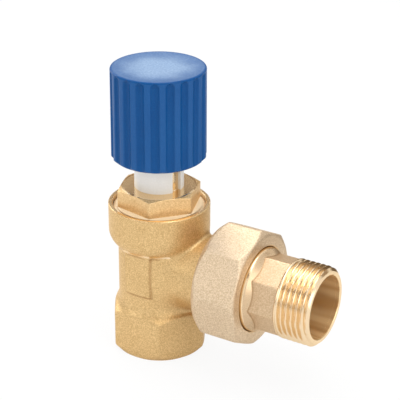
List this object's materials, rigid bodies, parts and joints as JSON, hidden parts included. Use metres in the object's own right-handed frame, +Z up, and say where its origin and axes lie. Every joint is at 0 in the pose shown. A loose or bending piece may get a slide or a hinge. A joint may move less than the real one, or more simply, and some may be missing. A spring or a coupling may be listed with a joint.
{
  "type": "angle bypass valve",
  "caption": "Angle differential bypass valve: brass body with threaded inlet below, fluted blue setting knob on top and a side union nut with threaded tailpiece.",
  "frame": {"origin": "on the valve's vertical axis, at the mouth plane of the threaded inlet", "axes": "+Z up along the spindle axis towards the knob, +X along the outlet axis towards the tailpiece's end, +Y to the back"},
  "size_m": [0.0797, 0.0398, 0.0996],
  "materials": {
    "forged_brass": "satin",
    "machined_brass": "polished",
    "blue_plastic": "matte",
    "white_plastic": "satin",
    "seal_rubber": "matte",
    "seal_fibre": "matte",
    "steel": "satin"
  },
  "bodies": {
    "valve": {"valve_body": "forged_brass", "bonnet": "forged_brass", "bonnet_oring": "seal_rubber", "spindle_oring_lower": "seal_rubber", "spindle_oring_upper": "seal_rubber", "scale_sleeve": "white_plastic"},
    "setting_cup": {"spring_cup": "machined_brass", "guide_bush": "white_plastic", "thrust_washer": "white_plastic"},
    "knob": {"adjusting_knob": "blue_plastic", "adjusting_spindle": "machined_brass", "spindle_stop_ring": "steel"},
    "disc": {"disc_carrier": "machined_brass", "disc_gasket": "seal_rubber", "disc_washer": "steel", "disc_screw": "steel", "preset_spring": "steel"},
    "tail": {"tailpiece": "machined_brass", "union_gasket": "seal_fibre"},
    "nut": {"union_nut": "forged_brass"}
  },
  "joints": [
    {"name": "preset_slide", "type": "slide", "parent": "valve", "child": "setting_cup", "axis": [0, 0, -1], "range_m": [0, 0.009], "deforming": ["preset_spring"]},
    {"name": "knob_turn", "type": "hinge", "parent": "setting_cup", "child": "knob", "pos_m": [0, 0, 0.0687], "axis": [0, 0, -1], "range_deg": [0, 2160]},
    {"name": "disc_lift", "type": "slide", "parent": "valve", "child": "disc", "axis": [0, 0, 1], "range_m": [0, 0.004], "stiffness_N_per_m": 900, "springref_m": -0.002, "deforming": ["preset_spring"]},
    {"name": "union_slide", "type": "slide", "parent": "valve", "child": "tail", "axis": [1, 0, 0], "range_m": [0, 0.00809]},
    {"name": "nut_turn", "type": "hinge", "parent": "tail", "child": "nut", "pos_m": [0.0313, 0, 0.0306], "axis": [1, 0, 0], "range_deg": [0, 1260]}
  ],
  "couplings": [
    {"joint": "knob_turn", "follows": "preset_slide", "rad_per_m": 4188.7},
    {"joint": "nut_turn", "follows": "union_slide", "rad_per_m": 2718.3}
  ]
}
